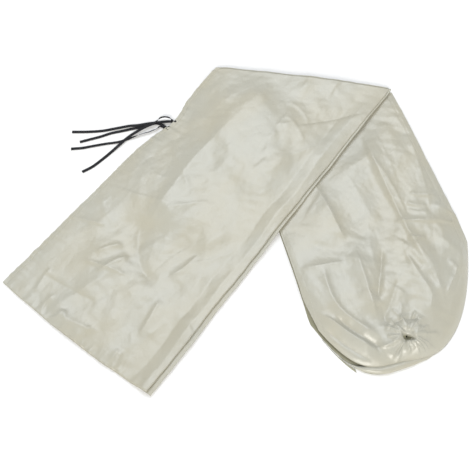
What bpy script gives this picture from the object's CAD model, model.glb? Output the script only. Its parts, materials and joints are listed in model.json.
"""The looks of a rotary clothesline's fabric cover, laid flat and folded once.

Pale coated polyester panels with crumples, hems and stitches, a gathered crown, and black tie
tapes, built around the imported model. Units are metres, +Z is up, and the floor is z = 0.
"""

import json
import math
import random
from functools import partial

import bmesh
import bpy
import numpy as np
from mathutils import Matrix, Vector


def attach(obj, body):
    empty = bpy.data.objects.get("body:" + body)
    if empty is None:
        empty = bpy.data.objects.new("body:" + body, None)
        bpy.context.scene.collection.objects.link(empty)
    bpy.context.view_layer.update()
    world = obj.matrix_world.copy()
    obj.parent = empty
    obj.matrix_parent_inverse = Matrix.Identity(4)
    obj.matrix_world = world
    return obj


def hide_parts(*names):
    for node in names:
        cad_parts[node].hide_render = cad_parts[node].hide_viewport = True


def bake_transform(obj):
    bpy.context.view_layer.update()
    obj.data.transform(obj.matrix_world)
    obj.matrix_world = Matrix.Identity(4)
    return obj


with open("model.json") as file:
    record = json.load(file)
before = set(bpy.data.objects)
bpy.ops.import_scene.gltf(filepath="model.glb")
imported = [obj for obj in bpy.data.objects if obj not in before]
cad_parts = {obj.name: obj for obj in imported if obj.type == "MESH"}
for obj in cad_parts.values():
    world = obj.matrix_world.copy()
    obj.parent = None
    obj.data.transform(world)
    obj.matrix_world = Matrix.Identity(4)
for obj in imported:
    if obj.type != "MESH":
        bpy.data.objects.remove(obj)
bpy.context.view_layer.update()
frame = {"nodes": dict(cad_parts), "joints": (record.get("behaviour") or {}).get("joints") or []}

# The part's driving dimensions.
MOUTH_WIDTH = 0.446
FOLD_WIDTH = 0.413
SEAM_LENGTH = 0.783
CROWN_LENGTH = 0.916
CROWN_WIDTH = 0.42
CROWN_ANGLE = math.radians(-34.2)
SEAM_BOW = 0.050  # the crown half's side seam bows outwards by this times along**2.5
SEAM_BOW_LIMIT = 0.0235
SLIT_EASE = 0.010  # its slit starts this much wider at the fold
SLIT_TAPER = 0.031
END_MIDDLE = 0.139  # where across the crown's rounded end reaches farthest
SLIT_SIDE_ROUNDING = (0.27, 0.280, 2.6)  # how it falls back: fall, distance of it, power
SEAM_SIDE_ROUNDING = (0.17, 0.165, 3.6)
SEAM_WIDTH = 0.009
HEM_WIDTH = 0.018
SLIT_SETBACK = 0.007  # how far the front panel's hem stands back from the back panel's
END_HEM_WIDTH = 0.025
MOUTH_SKEW = 0.020  # how far the side seam leans over between the mouth and the fold
PUCKER = 0.020  # the side seam is drawn in by this much where the ties are sewn
PUCKER_Y = 0.585
PUCKER_REACH = 0.060
MOUTH_REST = 0.015  # underside of the mouth half at the fold
MOUTH_REACH = 1.200  # the mouth half would slope down to the floor over this distance
DROP_REACH = 0.120  # it hangs down to the floor this far beyond the crown half's edge
CROWN_TOP = 0.0066  # top of the crown half near the fold
CROWN_RISE = 0.015  # the crown swells by this much towards its gathers
PRESSED_FROM = 0.034  # above this height the crumples are pressed down
PRESSED_ROOM = 0.0055  # into this much
GATHER_ALONG = 0.852
GATHER_ACROSS = 0.162
GATHER_RADIUS = 0.050
GATHER_PLEATS = 30
HOLE_LENGTH = 0.026
HOLE_WIDTH = 0.011
HOLE_LEAN = math.radians(50)
# The rolled rim's cross-section: how far in from the crown's end, and how high.
RIM_SECTION = [(0.020, 0.0004), (0.008, 0.0004), (0.002, 0.0020), (0.0, 0.0050), (0.0012, 0.0085),
               (0.0050, 0.0112), (0.0095, 0.0120), (0.0140, 0.0108), (0.0175, 0.0085), (0.0200, 0.0060)]
TIP_FROM = -0.012  # the lower panel's loose edge shows between these places across the end
TIP_TO = 0.031
TIP_REACH = 0.008

# Cloth and sewing.
CLOTH = 0.0004
HEM_CLOTH = 0.0010
MOUTH_LOFT = 0.0060  # air between the mouth half's panels
EDGE_LOFT = 0.0012
SLIT_STAND = 0.008  # the cloth stands up by this much along the slit
SLIT_GAP = 0.0035  # the slit's front hem stands this much higher over the back one
FOLD_FLATNESS = 0.55  # how far the cloth stands out at the fold, as a share of a half circle
FOLD_PUFF = 0.001  # the mouth half is thickest a little way from the fold
MOUTH_BULGE = 0.008  # the mouth's edge bows outwards by this much
TURNED_UNDER = -0.0013  # a hem that is turned under its panel lies this far below its surface
SEWN_IN = -0.0006  # and one that covers its panel's edge, this far
STITCH_ROWS = (0.0030, 0.0150)  # insets of a hem's two stitch rows from its edge
STITCH_PITCH = 0.0042
STITCH_LENGTH = 0.0028
STITCH_WIDTH = 0.0003
FINE = 0.0029  # spacing of the mesh on the panels that show
COARSE = 0.012  # on those underneath
HEM_PITCH = 0.0035  # along the hems
SEAM_PITCH = 0.0025  # and along the side seam

# The fold line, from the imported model's hinge.
HINGE = Vector(frame["joints"][0]["pos_m"])
FOLD_DIRECTION = -Vector(frame["joints"][0]["axis"])
FOLD_OUTWARD = Vector((-FOLD_DIRECTION.y, FOLD_DIRECTION.x, 0))
FOLD_SLOPE = FOLD_DIRECTION.y / FOLD_DIRECTION.x
FOLD_LENGTH = FOLD_WIDTH / FOLD_DIRECTION.x
FOLD_ANGLE = math.atan(FOLD_SLOPE)
MOUTH_Y = HINGE.y - SEAM_LENGTH
ALONG = Vector((math.cos(CROWN_ANGLE), math.sin(CROWN_ANGLE), 0))
ACROSS = Vector((-math.sin(CROWN_ANGLE), math.cos(CROWN_ANGLE), 0))

# Tie tapes.
TAPE_WIDTH = 0.008
TAPE_THICKNESS = 0.0006
# Its cross-section, in half widths and half thicknesses, with thicker woven edges.
TAPE_SECTION = ((1, 0), (0.94, 1), (0, 0.8), (-0.94, 1), (-1, 0), (-0.94, -1), (0, -0.8), (0.94, -1))
# The middle line of each tail, from its root in the side seam to its free end, and its twist in
# degrees at shares of the way along, where 0 is flat and 90 is on edge.
TIE_ROUTES = {
    "tie_tail_1": [
        (-0.414, 0.079, 0.0056), (-0.421, 0.074, 0.0056), (-0.429, 0.067, 0.0055), (-0.443, 0.054, 0.0054),
        (-0.463, 0.034, 0.0050), (-0.479, 0.017, 0.0040), (-0.495, 0.003, 0.0035),
        (-0.509, -0.012, 0.0026), (-0.524, -0.029, 0.0018), (-0.545, -0.052, 0.0010),
        (-0.574, -0.077, 0.0010), (-0.603, -0.099, 0.0010),
    ],
    "tie_tail_2": [
        (-0.417, 0.055, 0.0039), (-0.425, 0.055, 0.0039), (-0.436, 0.054, 0.0038), (-0.448, 0.048, 0.0037),
        (-0.457, 0.035, 0.0032), (-0.467, 0.022, 0.0020), (-0.486, 0.000, 0.0014),
        (-0.502, -0.020, 0.0010), (-0.520, -0.042, 0.0010), (-0.534, -0.065, 0.0010),
        (-0.551, -0.089, 0.0010), (-0.566, -0.110, 0.0010),
    ],
    "tie_tail_3": [
        (-0.417, 0.053, 0.0020), (-0.423, 0.053, 0.0020), (-0.429, 0.051, 0.0020), (-0.433, 0.048, 0.0020),
        (-0.434, 0.037, 0.0019), (-0.442, 0.020, 0.0017), (-0.451, 0.007, 0.0014),
        (-0.464, -0.014, 0.0010), (-0.475, -0.032, 0.0010), (-0.488, -0.052, 0.0010),
        (-0.509, -0.074, 0.0010), (-0.531, -0.099, 0.0010), (-0.549, -0.120, 0.0010),
        (-0.570, -0.139, 0.0010),
    ],
    "tie_tail_4": [
        (-0.414, 0.077, 0.0074), (-0.418, 0.081, 0.0084), (-0.427, 0.081, 0.0094), (-0.439, 0.075, 0.0096),
        (-0.446, 0.065, 0.0094), (-0.447, 0.053, 0.0088), (-0.449, 0.042, 0.0082), (-0.456, 0.030, 0.0072),
        (-0.462, 0.017, 0.0064), (-0.468, 0.000, 0.0055), (-0.474, -0.021, 0.0045),
        (-0.477, -0.040, 0.0038), (-0.479, -0.062, 0.0032), (-0.482, -0.089, 0.0016),
        (-0.486, -0.119, 0.0010), (-0.491, -0.147, 0.0010), (-0.501, -0.173, 0.0010),
    ],
}
TIE_TWISTS = {
    "tie_tail_1": [(0, 0), (1, 0)],
    "tie_tail_2": [(0, 0), (1, 0)],
    "tie_tail_3": [(0, 0), (0.08, 40), (0.16, 70), (0.3, 60), (0.42, 10), (1, 0)],
    "tie_tail_4": [(0, 20), (0.05, 80), (0.14, 80), (0.2, 20), (0.28, 0), (1, 0)],
}

# Creases, each a line over the plan with its rise and how far it falls off to the left and the
# right of that line. A negative rise is a valley.
MOUTH_CREASES = [
    # The long ridge that runs down from the fold, steep towards the side seam.
    ([(-0.272, 0.330), (-0.283, 0.172), (-0.293, 0.039), (-0.285, -0.089), (-0.268, -0.230)],
     0.0170, 0.200, 0.058),
    # Where its flat side ends, towards the mouth.
    ([(-0.300, -0.175), (-0.262, -0.240), (-0.205, -0.292), (-0.145, -0.300)],
     -0.0080, 0.060, 0.030),
    # The mouth's own ridge, behind its hem.
    ([(-0.310, -0.487), (-0.255, -0.484), (-0.215, -0.474), (-0.180, -0.462)],
     0.0060, 0.014, 0.030),
    ([(-0.305, -0.500), (-0.296, -0.453), (-0.278, -0.395), (-0.262, -0.340)],
     0.0040, 0.040, 0.016),
    ([(-0.385, 0.115), (-0.345, 0.128), (-0.300, 0.155)], 0.0030, 0.012, 0.020),
    ([(-0.275, -0.153), (-0.231, -0.103), (-0.180, -0.050)], 0.0032, 0.012, 0.025),
    ([(-0.290, -0.365), (-0.268, -0.315), (-0.245, -0.280)], 0.0022, 0.012, 0.010),
    ([(-0.088, -0.495), (-0.100, -0.460), (-0.135, -0.412)], 0.0025, 0.010, 0.018),
    ([(-0.092, -0.410), (-0.080, -0.350)], 0.0020, 0.010, 0.016),
    ([(-0.210, 0.300), (-0.150, 0.290), (-0.105, 0.250)], 0.0022, 0.010, 0.014),
    ([(-0.190, 0.255), (-0.140, 0.245), (-0.100, 0.215)], 0.0018, 0.010, 0.012),
    ([(-0.400, -0.050), (-0.350, -0.075), (-0.300, -0.060)], 0.0022, 0.012, 0.018),
    ([(-0.420, -0.190), (-0.370, -0.230), (-0.320, -0.235)], 0.0024, 0.012, 0.020),
    ([(-0.120, -0.150), (-0.150, -0.250), (-0.140, -0.330)], -0.0020, 0.030, 0.030),
    # Short sharp ones near the mouth and the side seam.
    ([(-0.286, -0.361), (-0.269, -0.303), (-0.251, -0.280)], 0.0034, 0.005, 0.012),
    ([(-0.324, -0.325), (-0.308, -0.293), (-0.283, -0.265)], 0.0030, 0.005, 0.012),
    ([(-0.367, -0.485), (-0.379, -0.439), (-0.380, -0.410)], 0.0032, 0.004, 0.009),
    ([(-0.312, -0.520), (-0.329, -0.492), (-0.326, -0.455)], 0.0034, 0.008, 0.004),
    ([(-0.300, -0.512), (-0.284, -0.491), (-0.285, -0.470)], 0.0040, 0.004, 0.008),
    ([(-0.256, -0.520), (-0.261, -0.495), (-0.285, -0.470)], 0.0034, 0.004, 0.008),
    ([(-0.191, -0.518), (-0.204, -0.493), (-0.209, -0.464)], 0.0032, 0.008, 0.004),
    ([(-0.107, -0.425), (-0.117, -0.375), (-0.127, -0.318)], 0.0034, 0.004, 0.014),
    ([(-0.100, -0.518), (-0.118, -0.497), (-0.126, -0.465)], 0.0034, 0.008, 0.004),
    ([(-0.080, -0.514), (-0.108, -0.493), (-0.114, -0.462)], 0.0030, 0.008, 0.004),
    ([(-0.146, -0.272), (-0.133, -0.234), (-0.126, -0.180)], 0.0030, 0.004, 0.012),
    ([(-0.455, -0.292), (-0.407, -0.274), (-0.344, -0.252)], 0.0034, 0.010, 0.005),
    ([(-0.340, -0.355), (-0.281, -0.338), (-0.212, -0.320)], 0.0030, 0.010, 0.005),
]
CROWN_CREASES = [
    # Long folds down the crown half, each with a bright side and a steep dark one.
    ([(0.290, 0.292), (0.417, 0.280), (0.510, 0.278), (0.602, 0.275), (0.692, 0.277), (0.790, 0.281)],
     0.0090, 0.055, 0.009),
    ([(0.350, 0.395), (0.408, 0.390), (0.496, 0.376), (0.590, 0.347)], 0.0060, 0.026, 0.030),
    ([(0.380, 0.116), (0.450, 0.122), (0.520, 0.126), (0.600, 0.128)], 0.0092, 0.008, 0.055),
    ([(0.565, 0.365), (0.600, 0.400), (0.625, 0.420)], 0.0030, 0.008, 0.010),
    ([(0.622, 0.000), (0.629, 0.050), (0.640, 0.110)], 0.0040, 0.010, 0.014),
    # Folds that run in to the gathers.
    ([(0.625, 0.056), (0.690, 0.044), (0.760, 0.055), (0.850, 0.120)], 0.0070, 0.010, 0.028),
    ([(0.610, 0.140), (0.700, 0.130), (0.800, 0.116)], 0.0070, 0.008, 0.028),
    ([(0.630, 0.204), (0.690, 0.172), (0.760, 0.132)], -0.0075, 0.008, 0.014),
    ([(0.715, 0.206), (0.760, 0.168), (0.815, 0.116)], -0.0045, 0.010, 0.012),
    ([(0.630, 0.272), (0.720, 0.288), (0.810, 0.276)], 0.0072, 0.010, 0.030),
    ([(0.660, 0.243), (0.730, 0.250), (0.785, 0.255), (0.825, 0.222)], 0.0058, 0.006, 0.022),
    ([(0.580, 0.250), (0.589, 0.287), (0.605, 0.334), (0.622, 0.384), (0.630, 0.405)], 0.0050, 0.012, 0.005),
    ([(0.630, 0.266), (0.636, 0.280), (0.641, 0.291), (0.644, 0.310)], 0.0036, 0.004, 0.007),
    ([(0.540, 0.300), (0.556, 0.322), (0.566, 0.352)], 0.0028, 0.010, 0.005),
    ([(0.560, 0.295), (0.574, 0.318), (0.585, 0.350)], 0.0026, 0.010, 0.005),
    ([(0.520, 0.318), (0.535, 0.350), (0.548, 0.392)], 0.0034, 0.012, 0.005),
    ([(0.710, 0.325), (0.738, 0.342), (0.770, 0.311), (0.800, 0.280)], 0.0036, 0.005, 0.010),
    ([(0.750, 0.030), (0.805, 0.060), (0.866, 0.108)], -0.0085, 0.007, 0.012),
    ([(0.775, 0.000), (0.830, 0.032), (0.884, 0.074)], -0.0065, 0.007, 0.010),
    ([(0.735, 0.004), (0.800, 0.044), (0.870, 0.094)], 0.0060, 0.006, 0.012),
    ([(0.850, 0.172), (0.864, 0.150), (0.886, 0.118)], -0.0060, 0.004, 0.006),
    ([(0.822, 0.190), (0.842, 0.192), (0.866, 0.176)], 0.0060, 0.005, 0.012),
    # The edge of the gathered cloth, towards the fold.
    ([(0.832, 0.122), (0.816, 0.150), (0.818, 0.182), (0.834, 0.212)], -0.0040, 0.012, 0.005),
]


def ease(value):
    """0 below 0, 1 above 1, and a smooth climb between them."""
    value = np.clip(value, 0.0, 1.0)
    return value * value * (3 - 2 * value)


def mix(start, end, share):
    return start + (end - start) * share


def bell(value):
    """1 at 0, falling smoothly to nothing on both sides."""
    return np.exp(-(value**2))


def noise(x, y, seed):
    """Smooth noise over the plane, between about -1 and 1, with features about one unit wide."""
    column, row = np.floor(x), np.floor(y)
    in_x, in_y = x - column, y - row

    def pull(step_x, step_y):
        turn = np.sin((column + step_x) * 127.1 + (row + step_y) * 311.7 + seed * 74.7) * 43758.5453
        turn = (turn - np.floor(turn)) * math.tau
        return np.cos(turn) * (in_x - step_x) + np.sin(turn) * (in_y - step_y)

    across = in_x**3 * (in_x * (in_x * 6 - 15) + 10)
    up = in_y**3 * (in_y * (in_y * 6 - 15) + 10)
    low = mix(pull(0, 0), pull(1, 0), across)
    high = mix(pull(0, 1), pull(1, 1), across)
    return 1.5 * mix(low, high, up)


def facets(x, y, lean, pitch, count, seed):
    """Flat facets that meet in straight creases, in patches. lean is the way across the creases,
    and every set of them adds a rise of 1 for each pitch across it."""
    chance = random.Random(seed)
    total = np.zeros(np.broadcast(x, y).shape)
    for number in range(count):
        turn = lean + chance.gauss(0, 0.30)
        width = pitch * chance.uniform(0.6, 1.6)
        bend = 0.25 * noise(x / 0.17, y / 0.17, seed + 11 * number)
        step = (x * math.cos(turn) + y * math.sin(turn)) / width + chance.random() + bend
        fold = np.sqrt((2 * (step - np.round(step))) ** 2 + 0.002)
        patch = ease(0.35 + 1.3 * noise(x / 0.15, y / 0.19, seed + 11 * number + 5))
        total = total + width / pitch * patch * fold
    return total / count


def crumple(across, along, seed):
    """Height of the crumples that stiff coated cloth keeps: long swells and facets down its
    length, with smaller ones crossing them in patches."""
    swell = 0.0012 * noise(across / 0.110, along / 0.45, seed + 4)
    long_facets = 0.0095 * facets(across, along, 0.0, 0.085, 5, seed + 20)
    slanted = 0.0034 * facets(across, along, 1.1, 0.060, 4, seed + 40)
    crossing = 0.0014 * facets(across, along, -0.9, 0.028, 4, seed + 60)
    fine = 0.00020 * noise(across / 0.010, along / 0.014, seed + 8)
    return swell + long_facets + slanted + crossing + fine


def smooth_line(points, step):
    """Points about step apart on a Catmull-Rom curve through the given ones."""
    points = [np.array(point, float) for point in points]
    ends = [2 * points[0] - points[1]] + points + [2 * points[-1] - points[-2]]
    line = [points[0]]
    for before, start, stop, after in zip(ends, ends[1:], ends[2:], ends[3:]):
        pieces = max(1, round(np.linalg.norm(stop - start) / step))
        for number in range(1, pieces + 1):
            t = number / pieces
            straight = 2 * start + (stop - before) * t
            bend = (2 * before - 5 * start + 4 * stop - after) * t**2
            twist = (3 * start - before - 3 * stop + after) * t**3
            line.append(0.5 * (straight + bend + twist))
    return line


def length_of(points):
    return sum(np.linalg.norm(stop - start) for start, stop in zip(points, points[1:]))


def crease(x, y, line, rise, left, right):
    """A ridge over the plan along a line, tapered to nothing at both of its ends."""
    points = smooth_line(line, 0.02)
    total = length_of(points)
    nearest = np.full(x.shape, np.inf)
    side = np.zeros(x.shape)
    share = np.zeros(x.shape)
    walked = 0.0
    for start, stop in zip(points, points[1:]):
        step = stop - start
        length = np.linalg.norm(step)
        part = ((x - start[0]) * step[0] + (y - start[1]) * step[1]) / length**2
        part = np.clip(part, 0, 1)
        away_x = x - start[0] - part * step[0]
        away_y = y - start[1] - part * step[1]
        distance = np.hypot(away_x, away_y)
        closer = distance < nearest
        nearest = np.where(closer, distance, nearest)
        side = np.where(closer, step[0] * away_y - step[1] * away_x, side)
        share = np.where(closer, (walked + part * length) / total, share)
        walked += length
    width = np.where(side > 0, left, right)
    taper = ease(share / 0.22) * ease((1 - share) / 0.22)
    return rise * taper * np.exp(-nearest / width)


def creased(x, y, creases):
    return sum(crease(x, y, *each) for each in creases)


def loose_creases(count, low, high, lean, seed):
    """Short ridges and valleys strewn over a box of the plan, most of them near one direction."""
    chance = random.Random(seed)
    made = []
    for _ in range(count):
        x = chance.uniform(low[0], high[0])
        y = chance.uniform(low[1], high[1])
        turn = lean + chance.gauss(0, 0.5)
        length = chance.uniform(0.05, 0.24)
        bow = chance.uniform(-0.07, 0.07) * length
        step_x, step_y = math.cos(turn) * length / 2, math.sin(turn) * length / 2
        line = [(x - step_x, y - step_y), (x - bow * math.sin(turn), y + bow * math.cos(turn)),
                (x + step_x, y + step_y)]
        rise = chance.choice((1, 1, -1)) * chance.uniform(0.0008, 0.0030)
        sharp, gentle = chance.uniform(0.004, 0.007), chance.uniform(0.014, 0.040)
        widths = (sharp, gentle) if chance.random() < 0.5 else (gentle, sharp)
        made.append((line, rise, *widths))
    return made


# Places on the plan.


def fold_y(x):
    return HINGE.y + (x - HINGE.x) * FOLD_SLOPE


def share_to_fold(y):
    """How much of the way from the mouth to the fold lies below y."""
    return (y - MOUTH_Y) / SEAM_LENGTH


def from_fold(x, y):
    return -((x - HINGE.x) * FOLD_OUTWARD.x + (y - HINGE.y) * FOLD_OUTWARD.y)


def seam_x(y):
    """Where the mouth half's side seam runs, with the small scallops that sewing leaves."""
    drawn_in = PUCKER * bell((y - MOUTH_Y - PUCKER_Y) / PUCKER_REACH)
    scallops = 0.0012 * noise(y / 0.030, 0.5, 41) + 0.0008 * noise(y / 0.013, 0.5, 42)
    return HINGE.x - MOUTH_SKEW * (1 - share_to_fold(y)) + drawn_in + scallops


def mouth_edge(x):
    """Where the mouth's edge runs, at x."""
    share = np.clip((x - HINGE.x + MOUTH_SKEW) / MOUTH_WIDTH, 0, 1)
    return MOUTH_Y - MOUTH_BULGE * np.sin(math.pi * share) + 0.0012 * noise(x / 0.05, 0.5, 44)


def slit_x(y):
    """Where the mouth half's slit edge runs, with its small waves."""
    waves = 0.0018 * noise(y / 0.08, 0.5, 43) + 0.0007 * noise(y / 0.02, 0.5, 45)
    wider = (MOUTH_WIDTH - FOLD_WIDTH - MOUTH_SKEW) * (1 - share_to_fold(y))
    return HINGE.x + FOLD_WIDTH + wider + waves


def past_slit(x, y):
    """How far outside the mouth half's slit edge a place lies."""
    return x - slit_x(np.clip(y, MOUTH_Y, None))


def crown_spot(along, across):
    """The plan's x and y of a place on the crown half."""
    x = HINGE.x + ALONG.x * along + ACROSS.x * across
    y = HINGE.y + ALONG.y * along + ACROSS.y * across
    return x, y


def crown_along_across(x, y):
    along = (x - HINGE.x) * ALONG.x + (y - HINGE.y) * ALONG.y
    across = (x - HINGE.x) * ACROSS.x + (y - HINGE.y) * ACROSS.y
    return along, across


def crown_edges(along):
    """The side seam's and the slit's places across the crown half."""
    bow = np.minimum(SEAM_BOW * np.clip(along, 0, None) ** 2.5, SEAM_BOW_LIMIT)
    slit_at_fold = FOLD_LENGTH * math.sin(FOLD_ANGLE - CROWN_ANGLE)
    return -bow, slit_at_fold + SLIT_EASE - SLIT_TAPER * along


def crown_end(across):
    """How far the rounded end of the crown half reaches, at this distance across it."""
    falls = [
        fall * (np.clip(side * (across - END_MIDDLE), 0, None) / distance) ** power
        for side, (fall, distance, power) in ((1, SLIT_SIDE_ROUNDING), (-1, SEAM_SIDE_ROUNDING))
    ]
    return CROWN_LENGTH - sum(falls)


def seam_level(share):
    """How far along the side seam runs, from the crown's end to the fold."""
    return mix(crown_end(-SEAM_BOW_LIMIT), 0.0, share)


def slit_level(share):
    """How far along the slit's edge runs, from the crown's end to the fold."""
    slit_at_fold = crown_edges(0)[1]
    return mix(crown_end(slit_at_fold), crown_fold(slit_at_fold), share)


def crown_fold(across):
    """How far along the fold line lies, at this distance across the crown half."""
    return across / math.tan(FOLD_ANGLE - CROWN_ANGLE)


def lip_inset(across):
    """How far the upper panel stops short of the rounded end, where the rolled rim shows."""
    return 0.001 + 0.017 * (1 - ease((across - 0.10) / 0.14))


def upper_end(across):
    """How far along the upper panel reaches."""
    return crown_end(across) - lip_inset(across)


# Heights of the cloth.


def shoulder(inset, reach):
    """0 at an edge, climbing to 1 over about this reach."""
    return 1 - np.exp(-np.clip(inset, 0, None) / reach)


def slit_step(x, y):
    """1 beside the slit, where the cloth stands up, with a straight slope to 0 further in."""
    starts = 0.054 + 0.006 * noise(y / 0.13, 0.5, 48)
    rise = np.clip((starts - slit_x(y) + x) / 0.026, 0, 1)
    return rise * (0.85 + 0.25 * noise(y / 0.10, 0.5, 49)) * ease(from_fold(x, y) / 0.12)


def held_down(height):
    """Heights with those near the object's full height pressed closer together below it."""
    return np.minimum(height, PRESSED_FROM) + PRESSED_ROOM * shoulder(height - PRESSED_FROM, PRESSED_ROOM)


def mouth_under(x, y):
    """Height of the mouth half's underside: over the crown half, then down to the floor."""
    along, across = crown_along_across(x, y)
    beyond = crown_edges(along)[0] - across
    over = MOUTH_REST * (1 - from_fold(x, y) / MOUTH_REACH)
    return over * (1 - ease(beyond / DROP_REACH)) + SLIT_STAND * slit_step(x, y) + CLOTH


def setback_at(y):
    """How far the slit's front hem stands back from the back one, most of it near the mouth."""
    return SLIT_SETBACK * mix(1.5, 0.6, ease(share_to_fold(y)))


def mouth_puckers(x, y):
    """Small waves square to the seam, the slit's hem and the mouth's hem, which fade inwards."""
    from_seam = x - seam_x(y)
    from_slit = slit_x(y) - x
    from_mouth = y - MOUTH_Y
    from_ties = from_mouth - PUCKER_Y
    tied = bell(from_ties / 0.07)
    seam = noise(from_seam / 0.06, y / 0.011, 21) * np.exp(-from_seam / 0.020)
    slit = noise(from_slit / 0.06, y / 0.022, 22) * np.exp(-from_slit / 0.018)
    mouth = noise(x / 0.015, from_mouth / 0.06, 23) * np.exp(-from_mouth / 0.026)
    tie = noise(from_seam / 0.09, y / 0.016, 24) * np.exp(-from_seam / 0.045) * tied
    bunched = bell(from_ties / 0.035) * np.exp(-from_seam / 0.030)
    return 0.0016 * seam + 0.0008 * slit + 0.0022 * mouth + 0.0030 * tie + 0.0042 * bunched


def mouth_top(x, y):
    """Height of the mouth half's upper panel."""
    loft = shoulder(x - seam_x(y), 0.050) * shoulder(slit_x(y) - x, 0.045)
    loft = loft * (0.55 + 0.45 * shoulder(y - MOUTH_Y, 0.080))
    opened = SLIT_GAP * mix(1.9, 0.2, ease(share_to_fold(y)))
    opened = opened * (1 + 0.6 * noise(y / 0.11, 0.5, 46))
    gap = opened * np.exp(-np.abs(slit_x(y) - x) / 0.030)
    inwards = from_fold(x, y)
    puffed = FOLD_PUFF * ease(inwards / 0.20) * (1 - ease((inwards - 0.20) / 0.40)) * loft
    height = mouth_under(x, y) + EDGE_LOFT + 2 * CLOTH + MOUTH_LOFT * loft + puffed + gap
    strewn = loose_creases(22, (-0.43, -0.50), (-0.01, 0.45), math.radians(80), 5)
    creases = creased(x, y, MOUTH_CREASES + strewn)
    calm = bell((slit_x(y) - x) / 0.055)
    small = crumple(x, y, 0) * (0.25 + 0.75 * loft) * (1 - 0.6 * calm)
    return held_down(height + creases * (0.3 + 0.7 * loft) + small) + mouth_puckers(x, y)


def mouth_low(x, y):
    """Height of the mouth half's lower panel, crumpled like the upper one but less."""
    inner = shoulder(x - seam_x(y), 0.030) * shoulder(slit_x(y) - x, 0.030)
    inner = inner * shoulder(y - MOUTH_Y, 0.030) * shoulder(from_fold(x, y), 0.015)
    return mouth_under(x, y) + 0.5 * inner * np.clip(crumple(x, y, 0), 0, None)


def gather_creases():
    """Pleats that run in to the gathered hole, uneven in their spacing and reach."""
    chance = random.Random(4)
    made = []
    for number in range(GATHER_PLEATS):
        turn = math.tau * (number + chance.uniform(-0.35, 0.35)) / GATHER_PLEATS
        bent = turn + chance.uniform(-0.35, 0.35)
        inner, outer = chance.uniform(0.006, 0.014), chance.uniform(0.034, 0.080)
        spots = ((inner, turn), ((inner + outer) / 2, mix(turn, bent, 0.4)), (outer, bent))
        line = [
            (GATHER_ALONG + radius * math.cos(angle), GATHER_ACROSS + radius * math.sin(angle))
            for radius, angle in spots
        ]
        made.append((line, chance.uniform(0.0022, 0.0044), 0.0022, chance.uniform(0.005, 0.012)))
    return made


def from_hole(along, across):
    """Distance from the gathers' middle, as a share of the way to the uneven rim of the hole."""
    forward, sideways = along - GATHER_ALONG - 0.004, across - GATHER_ACROSS
    longways = forward * math.cos(HOLE_LEAN) + sideways * math.sin(HOLE_LEAN)
    shortways = sideways * math.cos(HOLE_LEAN) - forward * math.sin(HOLE_LEAN)
    uneven = 1 + 0.25 * noise(along / 0.008, across / 0.008, 71)
    return np.hypot(longways / (HOLE_LENGTH / 2), shortways / (HOLE_WIDTH / 2)) * uneven


def gather_height(along, across):
    """What the gathers add to the crown: pleats, a puckered rim and the hole in its middle."""
    share = from_hole(along, across)
    radius = np.hypot(along - GATHER_ALONG, across - GATHER_ACROSS)
    rim = 0.0018 * bell((share - 1.6) / 0.7)
    rim = rim * (1 + 0.6 * noise(along / 0.009, across / 0.009, 72))
    hole = -0.007 * (1 - ease((share - 0.4) / 0.8))
    dip = -0.0010 * bell(radius / 0.030)
    return creased(along, across, gather_creases()) + rim + hole + dip


def crown_base(along, across):
    """Height of the crown half's upper panel before its creases, and how much of it shows."""
    seam, slit = crown_edges(along)
    x, y = crown_spot(along, across)
    shows = ease((past_slit(x, y) - 0.004) / 0.06)
    sideways = np.clip(2 * (across - seam) / (slit - seam) - 1, -1, 1)
    swell = CROWN_RISE * ease((along - 0.52) / 0.24) * (1 - np.abs(sideways) ** 2.5)
    sides = shoulder(across - seam, 0.016) * shoulder(slit - across, 0.018)
    flat = mix(0.0032, CROWN_TOP + 0.0035 * shows, sides)
    end = shoulder(upper_end(across) - along, 0.020)
    return mix(0.0012 + 0.33 * lip_inset(across), flat + swell, end), shows


def crown_puckers(along, across):
    inset = across - crown_edges(along)[0]
    return 0.0010 * noise(along / 0.014, inset / 0.06, 31) * np.exp(-inset / 0.020)


def crown_top(along, across):
    """Height of the crown half's upper panel, kept under the mouth half where that lies on it."""
    height, shows = crown_base(along, across)
    strewn = loose_creases(16, (0.30, 0.02), (0.90, 0.40), 0.0, 9)
    creases = creased(along, across, CROWN_CREASES + strewn)
    small = 1.3 * crumple(across, along, 50)
    near_end = 1 - shoulder(upper_end(across) - along, 0.018)
    bumps = (creases + small) * (1 - 0.8 * near_end) + crown_puckers(along, across)
    x, y = crown_spot(along, across)
    bumps = bumps * mix(0.4, 1, shows) * shoulder(from_fold(x, y), 0.012)
    height = height + bumps + gather_height(along, across) * (1 - 0.6 * near_end)
    beside = np.clip(past_slit(x, y) - 0.002, 0, None)
    return np.minimum(held_down(height), mouth_under(x, y) - 0.0014 + 0.5 * beside)


# Meshes.


def new_object(name, data, *looks):
    for look in looks:
        data.materials.append(look)
    piece = bpy.data.objects.new(name, data)
    bpy.context.scene.collection.objects.link(piece)
    return piece


def smooth(mesh):
    mesh.polygons.foreach_set("use_smooth", [True] * len(mesh.polygons))
    return mesh


def mesh_from(made, name):
    """The plain mesh of what bmesh made."""
    mesh = bpy.data.meshes.new(name)
    made.to_mesh(mesh)
    made.free()
    return mesh


def join_rings(made, low, high):
    """Faces between two closed rings of corners."""
    for number in range(len(low)):
        after = (number + 1) % len(low)
        made.faces.new((low[number], low[after], high[after], high[number]))


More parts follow.
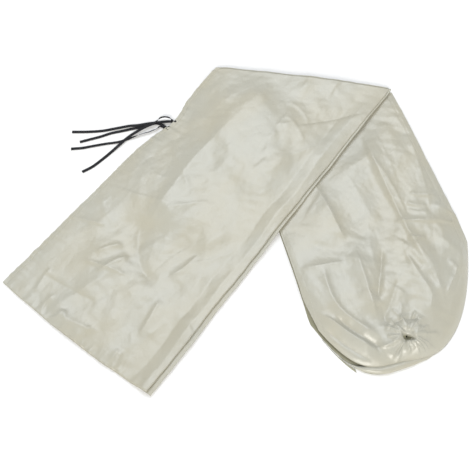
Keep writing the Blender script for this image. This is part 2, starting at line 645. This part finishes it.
def grid_mesh(name, x, y, z, closed=False, keep=None):
    """A smooth-shaded mesh over arrays of places. closed joins the last column to the first."""
    rows, columns = x.shape
    spots = np.stack([x, y, z], axis=-1).reshape(-1, 3)
    number = np.arange(rows * columns).reshape(rows, columns)
    if closed:
        number = np.concatenate([number, number[:, :1]], axis=1)
    corners = [number[:-1, :-1], number[:-1, 1:], number[1:, 1:], number[1:, :-1]]
    faces = np.stack(corners, axis=-1)
    faces = faces[keep] if keep is not None else faces.reshape(-1, 4)
    mesh = bpy.data.meshes.new(name)
    mesh.from_pydata(spots.tolist(), [], faces.tolist())
    mesh.update()
    return smooth(mesh)


def apply_modifiers(piece):
    """Leaves the piece's final shape as its plain mesh."""
    bpy.context.view_layer.update()
    shaped = piece.evaluated_get(bpy.context.evaluated_depsgraph_get())
    mesh = bpy.data.meshes.new_from_object(shaped)
    piece.modifiers.clear()
    piece.data = mesh


def cloth(name, x, y, z, looks, top="outside", under="inside", keep=None):
    """A panel of cloth with a real thickness and a look for each of its faces."""
    piece = new_object(name, grid_mesh(name, x, y, z, keep=keep), looks[top], looks[under])
    lose = bmesh.new()
    lose.from_mesh(piece.data)
    bmesh.ops.delete(lose, geom=[v for v in lose.verts if not v.link_faces], context="VERTS")
    lose.to_mesh(piece.data)
    lose.free()
    solid = piece.modifiers.new("thickness", "SOLIDIFY")
    solid.thickness = CLOTH
    solid.offset = -1
    solid.material_offset = 1
    solid.material_offset_rim = 0
    apply_modifiers(piece)
    return piece


def hem_section(width, thickness):
    """A folded hem's closed cross-section: insets from its edge, and lifts over its base."""
    over = np.linspace(width, 0, 22)
    dents = sum(0.0003 * bell((over - row) / 0.0011) for row in STITCH_ROWS)
    round_off = np.minimum(over, width - over) / 0.0012
    lift = thickness * (0.45 + 0.55 * np.sqrt(np.clip(round_off, 0, 1))) - dents
    under = np.linspace(0.0005, width - 0.0005, 5)
    return np.concatenate([over, under]), np.concatenate([lift, np.zeros(5)])


def as_they_are(x, y):
    return x, y


def make_hem(name, node, looks, place, surface, lift, section, steps, rows, every, plan=as_they_are):
    """A folded hem, and the lines of places that its stitches follow, with one place kept in
    every few. place gives the spot at a share of the way along and an inset from the edge,
    surface its height, and plan its x and y."""
    insets, lifts = section
    share = np.linspace(0, 1, steps)
    spot = place(share[:, None], insets[None, :])
    mesh = grid_mesh(name, *plan(*spot), surface(*spot) + lift + lifts[None, :], closed=True)
    hem = new_object(name, mesh, looks["hem"])
    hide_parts(node)
    thread_lift = max(lift + HEM_CLOTH - 0.0004, -0.00005)  # on the panel where the hem is under it
    lines = []
    for row in rows:
        spot = place(share, row)
        lines.append(np.stack([*plan(*spot), surface(*spot) + thread_lift], axis=-1)[::every])
    return hem, lines


def make_stitches(name, lines, look):
    """Short threads laid end to end along lines of places."""
    made = bmesh.new()
    for line in lines:
        path = smooth_line(line, STITCH_PITCH)
        for start, stop in zip(path, path[1:]):
            middle = Vector((start + stop) / 2)
            forward = Vector(stop - start)
            if forward.length < 1e-6:
                continue
            forward.normalize()
            sideways = Vector((-forward.y, forward.x, 0)).normalized()
            rise = forward.cross(sideways) * -1
            tips = [made.verts.new(middle + forward * STITCH_LENGTH / 2 * way) for way in (-1, 1)]
            ring = [
                made.verts.new(middle + sideways * STITCH_WIDTH * math.cos(angle)
                               + rise * STITCH_WIDTH * 0.8 * math.sin(angle))
                for angle in (math.tau * step / 6 for step in range(6))
            ]
            for corner, following in zip(ring, ring[1:] + ring[:1]):
                made.faces.new((tips[1], corner, following))
                made.faces.new((tips[0], following, corner))
    return new_object(name, smooth(mesh_from(made, name)), look)


# Materials.


class Nodes:
    """A short way to write a material's node tree."""

    def __init__(self, name):
        self.material = bpy.data.materials.new(name)
        self.material.use_nodes = True
        self.tree = self.material.node_tree
        self.shader = self.tree.nodes["Principled BSDF"]

    def add(self, kind, at=None, **values):
        """A new node with these values, fed with the place at, where it takes one."""
        node = self.tree.nodes.new(kind)
        for key, value in values.items():
            if key in node.inputs:
                node.inputs[key].default_value = value
            else:
                setattr(node, key, value)
        if at is not None:
            self.join(at, node.inputs["Vector"])
        return node

    def join(self, out, into):
        self.tree.links.new(out, into)

    def bump(self, height, strength, depth, under=None):
        """Bends the surface's light by a height, over an earlier bump where there is one."""
        node = self.add("ShaderNodeBump", Strength=strength, Distance=depth)
        self.join(height, node.inputs["Height"])
        if under is not None:
            self.join(under, node.inputs["Normal"])
        self.join(node.outputs["Normal"], self.shader.inputs["Normal"])
        return node.outputs["Normal"]

    def set(self, **values):
        for key, value in values.items():
            self.shader.inputs[key.replace("_", " ")].default_value = value


def place_of(nodes, scale):
    """The object's own coordinates, stretched by a scale along each axis."""
    coordinates = nodes.add("ShaderNodeTexCoord")
    mapping = nodes.add("ShaderNodeMapping", coordinates.outputs["Object"], Scale=scale)
    return mapping.outputs["Vector"]


def tone(nodes, pale, dark, scale, low, high):
    """Colours the material with two colours in soft patches of noise."""
    place = place_of(nodes, scale)
    patches = nodes.add("ShaderNodeTexNoise", place, Scale=1.0, Detail=3.0, Roughness=0.55)
    ramp = nodes.add("ShaderNodeValToRGB")
    ramp.color_ramp.elements[0].position = low
    ramp.color_ramp.elements[0].color = (*dark, 1)
    ramp.color_ramp.elements[1].position = high
    ramp.color_ramp.elements[1].color = (*pale, 1)
    nodes.join(patches.outputs["Fac"], ramp.inputs["Fac"])
    nodes.join(ramp.outputs["Color"], nodes.shader.inputs["Base Color"])


def weave(nodes, pitch, strength, depth):
    """Threads over and under each other, pitch apart, as bump."""
    woven = nodes.add("ShaderNodeMath", operation="MULTIPLY")
    for axis, into in zip(("X", "Y"), woven.inputs):
        wave = nodes.add("ShaderNodeTexWave", place_of(nodes, [0.314 / pitch] * 3), Scale=1.0,
                         Distortion=0.4, Detail=1.0, bands_direction=axis)
        nodes.join(wave.outputs["Fac"], into)
    return nodes.bump(woven.outputs["Value"], strength, depth)


def crinkles(nodes, under):
    """A net of small flat facets with crisp edges, as bump over the weave."""
    for scale, depth in (((30, 16, 30), 0.0008), ((75, 50, 75), 0.00032)):
        spot = place_of(nodes, scale)
        warp = nodes.add("ShaderNodeTexNoise", spot, Scale=0.6, Detail=2.0)
        moved = nodes.add("ShaderNodeVectorMath", operation="ADD")
        nodes.join(spot, moved.inputs[0])
        nodes.join(warp.outputs["Color"], moved.inputs[1])
        cells = nodes.add("ShaderNodeTexVoronoi", moved.outputs["Vector"], Scale=1.0,
                          feature="DISTANCE_TO_EDGE")
        under = nodes.bump(cells.outputs["Distance"], 1.0, depth, under)


def fabric(name, pale, dark, roughness):
    nodes = Nodes(name)
    tone(nodes, pale, dark, (9, 5, 9), 0.40, 0.60)
    crinkles(nodes, weave(nodes, 0.0007, 0.12, 0.0001))
    nodes.set(Roughness=roughness, Specular_IOR_Level=0.8, Sheen_Weight=0.05, Sheen_Roughness=0.4)
    return nodes.material


def thread():
    nodes = Nodes("thread")
    tone(nodes, (0.50, 0.48, 0.40), (0.44, 0.42, 0.34), (300, 300, 300), 0.3, 0.7)
    nodes.set(Roughness=0.55)
    return nodes.material


def woven_tape():
    nodes = Nodes("tie_tape")
    tone(nodes, (0.012, 0.012, 0.015), (0.006, 0.006, 0.008), (120, 120, 120), 0.3, 0.7)
    weave(nodes, 0.0009, 0.6, 0.0003)
    nodes.set(Roughness=0.72, Specular_IOR_Level=0.35, Sheen_Weight=0.05, Sheen_Roughness=0.5)
    return nodes.material


def make_materials():
    return {
        "outside": fabric("fabric_outside", (0.447, 0.437, 0.367), (0.452, 0.431, 0.344), 0.345),
        "hem": fabric("fabric_hem", (0.447, 0.436, 0.362), (0.451, 0.429, 0.340), 0.35),
        "inside": fabric("fabric_inside", (0.30, 0.29, 0.20), (0.24, 0.235, 0.155), 0.60),
        "thread": thread(),
        "tape": woven_tape(),
    }


# The stage.


def make_camera():
    data = bpy.data.cameras.new("camera")
    data.lens = 57.39
    data.sensor_width = 36
    camera = new_object("camera", data)
    camera.location = (0.3966, -0.7369, 1.5939)
    camera.rotation_euler = (math.radians(27.03), 0, math.radians(36.8))
    bpy.context.scene.camera = camera


def make_floor():
    """A wide pale floor that curves up at its far rim, so that no sharp horizon shows."""
    made = bmesh.new()
    profile = ((0.01, 0), (10, 0), (11, 0.08), (12, 0.4), (13, 1.2), (13.7, 2.4), (14, 4.0))
    turns = [math.tau * step / 72 for step in range(72)]
    rings = [
        [made.verts.new((radius * math.cos(turn), radius * math.sin(turn), height)) for turn in turns]
        for radius, height in profile
    ]
    made.faces.new(rings[0])
    for low, high in zip(rings, rings[1:]):
        join_rings(made, high, low)
    nodes = Nodes("floor")
    nodes.set(Base_Color=(0.93, 0.93, 0.93, 1), Roughness=0.9, Specular_IOR_Level=0.1)
    floor = new_object("floor", smooth(mesh_from(made, "floor")), nodes.material)
    floor.location.z = -0.0004


def make_light(name, source, spread, strength, colour):
    """A large far softbox: even light from the direction of source, spread over some degrees."""
    data = bpy.data.lights.new(name, "SUN")
    data.angle = math.radians(spread)
    data.energy = strength
    data.color = colour
    lamp = new_object(name, data)
    lamp.location = source
    lamp.rotation_euler = (-Vector(source)).to_track_quat("-Z", "Y").to_euler()


def make_lights():
    world = bpy.data.worlds.new("studio")
    world.use_nodes = True
    world.node_tree.nodes["Background"].inputs["Color"].default_value = (1, 1, 1, 1)
    world.node_tree.nodes["Background"].inputs["Strength"].default_value = 0.45
    bpy.context.scene.world = world
    make_light("key", (1.0, -1.9, 1.8), 30, 2.1, (1.0, 0.975, 0.92))
    make_light("sheen", (-0.55, 0.75, 1.9), 34, 1.15, (0.86, 0.92, 1.0))
    bpy.context.scene.view_settings.view_transform = "Standard"


# The ties.


def directions(points):
    """Each point's direction of travel."""
    ahead = points[1:] + [points[-1]]
    behind = [points[0]] + points[:-1]
    return [Vector(after - before).normalized() for before, after in zip(behind, ahead)]


def make_tail(name, look):
    """One tail of a tie: a flat woven tape that follows its route and twists along it."""
    points = smooth_line(TIE_ROUTES[name], 0.003)
    shares = np.linspace(0, 1, len(points))
    at, degrees = zip(*TIE_TWISTS[name])
    turns = np.radians(np.interp(shares, at, degrees))
    made = bmesh.new()
    rings = []
    for point, forward, turn in zip(points, directions(points), turns):
        point[2] = max(point[2], TAPE_WIDTH / 2 * abs(math.sin(turn)) + 0.0005)
        sideways = Vector((-forward.y, forward.x, 0)).normalized()
        rise = forward.cross(sideways) * -1
        if rise.z < 0:
            rise = -rise
        wide = sideways * math.cos(turn) + rise * math.sin(turn)
        thick = rise * math.cos(turn) - sideways * math.sin(turn)
        rings.append([
            made.verts.new(Vector(point) + wide * side * TAPE_WIDTH / 2 + thick * lift * TAPE_THICKNESS / 2)
            for side, lift in TAPE_SECTION
        ])
    for low, high in zip(rings, rings[1:]):
        join_rings(made, low, high)
    made.faces.new(rings[0])
    made.faces.new(list(reversed(rings[-1])))
    bmesh.ops.recalc_face_normals(made, faces=made.faces)
    tail = new_object(name + "_tape", mesh_from(made, name), look)
    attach(tail, "mouth_half")
    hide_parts(name)


# The mouth half.


def grid_shares(width, length, pitch):
    """Shares of the way across and along a grid whose places are about pitch apart."""
    across = np.linspace(0, 1, round(width / pitch) + 1)
    along = np.linspace(0, 1, round(length / pitch) + 1)
    return across[None, :], along[:, None]


def mouth_patch(from_seam, far_x, from_mouth, pitch):
    """Plan places of a grid on the mouth half, from near the side seam to far_x, a function of y,
    and from near the mouth to the fold."""
    u, v = grid_shares(MOUTH_WIDTH, SEAM_LENGTH + 0.1, pitch)
    level = MOUTH_Y + mix(from_mouth, SEAM_LENGTH, v)
    x = mix(seam_x(level) + from_seam, far_x(level), u)
    return x, mix(mouth_edge(x) + from_mouth, fold_y(x), v)


def make_mouth_panels(looks):
    near_seam = SEAM_WIDTH - 0.003
    x, y = mouth_patch(near_seam, lambda y: slit_x(y) - setback_at(y) - CLOTH, CLOTH, FINE)
    front = cloth("mouth_front_cloth", x, y, mouth_top(x, y), looks)
    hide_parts("mouth_front_panel")
    x, y = mouth_patch(near_seam, lambda y: slit_x(y) - HEM_WIDTH + 0.002, END_HEM_WIDTH - 0.002, COARSE)
    back = cloth("mouth_back_cloth", x, y, mouth_low(x, y), looks, "inside", "outside")
    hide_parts("mouth_back_panel")
    return front, back


def slit_place(share, inset, setback):
    """A place at an inset from the slit's edge, at a share of the way to the fold. setback is 1
    on the front panel, whose hem stands back, and 0 on the back one."""
    level = MOUTH_Y + SEAM_LENGTH * share
    x = slit_x(level) - setback * setback_at(level) - inset
    return x, mix(mouth_edge(x), fold_y(x), share)


def mouth_place(share, inset, setback):
    """A place at an inset from the mouth's edge, at a share of the way from the seam to the slit."""
    level = MOUTH_Y + inset + 0 * share
    x = mix(seam_x(level), slit_x(level) - setback * setback_at(level), share)
    return x, mouth_edge(x) + inset


def seam_place(share, inset):
    """A place at an inset from the side seam's edge, at a share of the way to the fold."""
    level = MOUTH_Y + SEAM_LENGTH * share
    x = seam_x(level) + inset
    return x, mix(mouth_edge(x), fold_y(x), share)


def make_mouth_seam(looks):
    """The side seam: both panels turned in and sewn through, with puckers along the stitches."""
    insets, lifts = hem_section(SEAM_WIDTH + 0.002, HEM_CLOTH + 0.0004)
    share = np.linspace(0, 1, round(SEAM_LENGTH / SEAM_PITCH))
    x, y = seam_place(share[:, None], insets[None, :])
    z = np.where(lifts[None, :] > 0, mouth_top(x, y) + SEWN_IN + lifts[None, :], mouth_under(x, y))
    seam = new_object("mouth_seam", grid_mesh("mouth_seam", x, y, z, closed=True), looks["hem"])
    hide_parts("mouth_side_seam")
    x, y = seam_place(share, SEAM_WIDTH - 0.002)
    return seam, [np.stack([x, y, mouth_top(x, y) + HEM_CLOTH + SEWN_IN], axis=-1)[::4]]


def make_mouth_half(looks):
    """The half that lies on top: both panels, their hems and side seam, and the thread."""
    front, back = make_mouth_panels(looks)
    slit_section = hem_section(HEM_WIDTH, HEM_CLOTH)
    end_section = hem_section(END_HEM_WIDTH, 0.7 * HEM_CLOTH)
    end_rows = (STITCH_ROWS[0], END_HEM_WIDTH - 0.003)
    sides = (("front", 1, mouth_top, TURNED_UNDER), ("back", 0, mouth_low, -CLOTH))
    sewn = {"front": [], "back": []}
    lines = {"front": [], "back": []}
    for kind, node, place, section, run, rows in (
        ("slit", "hem", slit_place, slit_section, SEAM_LENGTH, STITCH_ROWS),
        ("mouth", "end_hem", mouth_place, end_section, MOUTH_WIDTH, end_rows),
    ):
        for side, setback, surface, lift in sides:
            hem, hem_lines = make_hem(
                f"mouth_{side}_{kind}_hem", f"mouth_{side}_{node}", looks,
                partial(place, setback=setback), surface, lift, section, round(run / HEM_PITCH), rows, 3)
            sewn[side].append(hem)
            lines[side] += hem_lines
    seam, seam_lines = make_mouth_seam(looks)
    sewn["front"].append(seam)
    lines["front"] += seam_lines
    for side in ("front", "back"):
        sewn[side].append(make_stitches(f"mouth_{side}_stitches", lines[side], looks["thread"]))
    for piece in (front, back, *sewn["front"], *sewn["back"]):
        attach(piece, "mouth_half")


# The crown half.


def upper_inset(along):
    """How far the upper panel's edge stands back from the lower one's, by the side seam."""
    return 0.001 + 0.010 * ease((along - 0.68) / 0.09)


def crown_patch(from_seam, from_slit, inset, pitch):
    """Grid places (along, across) on the crown half. from_seam is a function of along."""
    u, v = grid_shares(CROWN_WIDTH, 0.90, pitch)
    level = seam_level(v)
    across = mix(crown_edges(level)[0] + from_seam(level), slit_edge(v) - from_slit, u)
    return mix(crown_end(across) - inset(across), crown_fold(across), v), across


def make_crown_panels(looks):
    along, across = crown_patch(lambda level: upper_inset(level) + 0.004, HEM_WIDTH - 0.002,
                                lip_inset, FINE)
    middle_along = (along[:-1, :-1] + along[1:, 1:]) / 2 - GATHER_ALONG
    middle_across = (across[:-1, :-1] + across[1:, 1:]) / 2 - GATHER_ACROSS
    keep = np.hypot(middle_along, middle_across) > GATHER_RADIUS - 0.003
    x, y = crown_spot(along, across)
    back = cloth("crown_back_cloth", x, y, crown_top(along, across), looks, keep=keep)
    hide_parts("crown_back_panel")
    along, across = crown_patch(lambda level: 0, SLIT_SETBACK + 0.002, lambda place: 0.004, COARSE)
    x, y = crown_spot(along, across)
    front = cloth("crown_front_cloth", x, y, on_floor(x, y), looks, "inside", "outside")
    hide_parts("crown_front_panel")
    return back, front


def seam_edge(share):
    """The upper panel's sewn edge, at a share of the way to the fold."""
    level = seam_level(share)
    return crown_edges(level)[0] + upper_inset(level)


def slit_edge(share):
    return crown_edges(slit_level(share))[1]


def front_slit_edge(share):
    return slit_edge(share) - SLIT_SETBACK


def make_crown_hem(name, node, looks, edge, inward, surface, lift, width, rows):
    """A folded edge down the crown half. edge gives its place across, and inward is 1 or -1."""
    def place(share, inset):
        across = edge(share) + inward * inset
        return mix(upper_end(across), crown_fold(across), share), across

    section = hem_section(width, HEM_CLOTH)
    return make_hem(name, node, looks, place, surface, lift, section, 260, rows, 4, crown_spot)


def on_floor(x, y):
    return CLOTH + 0 * x


def make_gathers(looks):
    """The crown's rosette of pleats round its hole."""
    turn = np.linspace(0, math.tau, 181)[None, :-1]
    ring = np.linspace(0, 1, 44)[:, None] ** 1.2
    radius = mix(0.0015, GATHER_RADIUS + 0.003, ring)
    along = GATHER_ALONG + radius * np.cos(turn)
    across = GATHER_ACROSS + radius * np.sin(turn)
    along = np.minimum(along, upper_end(across))
    x, y = crown_spot(along, across)
    z = crown_top(along, across) + 0.0007 * (1 - ring**8)
    mesh = grid_mesh("crown_rosette", x[::-1], y[::-1], z[::-1], closed=True)
    rosette = new_object("crown_rosette", mesh, looks["outside"], looks["inside"])
    deep = (from_hole(along, across)[::-1][1:] < 0.75).ravel()
    mesh.polygons.foreach_set("material_index", deep.astype(int))
    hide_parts("crown_gather", "crown_casing")
    return rosette


def make_rim(looks):
    """The lower panel's rolled rim round the crown's end."""
    across = np.linspace(0.010, 0.290, 160)[:, None]
    size = 0.10 + 0.90 * ease((across - 0.010) / 0.06) * (1 - ease((across - 0.11) / 0.15))
    outline = np.array(smooth_line(RIM_SECTION, 0.0012))
    inset = outline[None, :, 0] * size + 0.003
    height = outline[None, :, 1] * size
    along = crown_end(across) - inset
    middle = np.sin(np.pi * np.linspace(0, 1, outline.shape[0]))
    wrinkle = 0.0012 * noise(across / 0.022, inset / 0.012, 61) * middle
    x, y = crown_spot(along + wrinkle, across + 0 * inset)
    mesh = grid_mesh("crown_rim", x, y, height + 0.5 * np.abs(wrinkle))
    rim = new_object("crown_rim", mesh, looks["outside"])
    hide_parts("crown_end_roll")
    return rim


def make_edge_tip(looks):
    """The lower panel's loose turned edge, which sticks out beside the rim and ends squarely."""
    share = np.linspace(0, 1, 60)[:, None]
    out = np.linspace(0, 1, 6)[None, :]
    across = mix(TIP_FROM, TIP_TO, share) + 0 * out
    along = crown_end(across) + 0.0004 + TIP_REACH * share**0.8 * out
    x, y = crown_spot(along, across)
    z = CLOTH + 0.0008 * (1 - out**2) + 0 * share
    return cloth("crown_edge_tip", x, y, z, looks, top="inside")


def make_crown_half(looks):
    """The half that lies below: both panels, their hems and side seam, the gathers and the rim."""
    back, front = make_crown_panels(looks)
    seam, seam_lines = make_crown_hem(
        "crown_seam", "crown_side_seam", looks,
        seam_edge, 1, crown_top, SEWN_IN, SEAM_WIDTH + 0.004, (0.003, 0.010))
    back_hem, back_lines = make_crown_hem(
        "crown_back_slit_hem", "crown_back_hem", looks,
        slit_edge, -1, crown_top, SEWN_IN, HEM_WIDTH, STITCH_ROWS)
    front_hem, front_lines = make_crown_hem(
        "crown_front_slit_hem", "crown_front_hem", looks,
        front_slit_edge, -1, on_floor, 0, HEM_WIDTH, STITCH_ROWS)
    stitches = make_stitches("crown_stitches", seam_lines + back_lines + front_lines, looks["thread"])
    rosette = make_gathers(looks)
    rim = make_rim(looks)
    tip = make_edge_tip(looks)
    for piece in (back, front, seam, back_hem, front_hem, tip, stitches, rosette, rim):
        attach(piece, "crown_half")


# The fold.


def make_wrap(name, low, high, left, right, node, looks, *faces):
    """Cloth that turns over the fold line, from one height on the crown half to one on the mouth
    half. low and high give those heights along the fold line, and faces are the cloth's looks."""
    u = np.linspace(left, right, 150)[None, :]
    bend = np.linspace(-0.5, 0.5, 28)[:, None] * math.pi
    x = HINGE.x + FOLD_DIRECTION.x * FOLD_LENGTH * u
    y = HINGE.y + FOLD_DIRECTION.y * FOLD_LENGTH * u
    bottom, top = low(x, y), high(x, y)
    radius = (top - bottom) / 2
    past = radius * (math.pi / 2 - bend)
    bumps = crumple(x + FOLD_OUTWARD.x * past, y + FOLD_OUTWARD.y * past, 0) - crumple(x, y, 0)
    bumps = bumps + 0.0014 * noise(u / 0.05, bend / 2, 47)
    reach = (FOLD_FLATNESS * radius + bumps) * np.cos(bend)
    z = (bottom + top) / 2 + radius * np.sin(bend)
    wrap = cloth(name, x + FOLD_OUTWARD.x * reach, y + FOLD_OUTWARD.y * reach, z, looks, *faces)
    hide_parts(node)
    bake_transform(wrap)


def make_folds(looks):
    def on_crown(x, y):
        return crown_top(*crown_along_across(x, y))

    make_wrap("front_fold_cloth", on_floor, mouth_top, 0.004, 0.982, "front_fold", looks,
              "inside", "outside")
    make_wrap("back_fold_cloth", on_crown, mouth_low, 0.004, 0.998, "back_fold", looks,
              "outside", "inside")


def dress_kept_nodes(looks):
    """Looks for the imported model's own tacks, where the ties start, and for its elastic, which
    lies in its casing under the rosette."""
    for name, look in (("tie_tack_upper", "tape"), ("tie_tack_lower", "tape"), ("crown_elastic", "thread")):
        materials = frame["nodes"][name].data.materials
        materials.clear()
        materials.append(looks[look])


def main():
    make_camera()
    make_lights()
    make_floor()
    looks = make_materials()
    for name in TIE_ROUTES:
        make_tail(name, looks["tape"])
    dress_kept_nodes(looks)
    make_mouth_half(looks)
    make_crown_half(looks)
    make_folds(looks)


main()
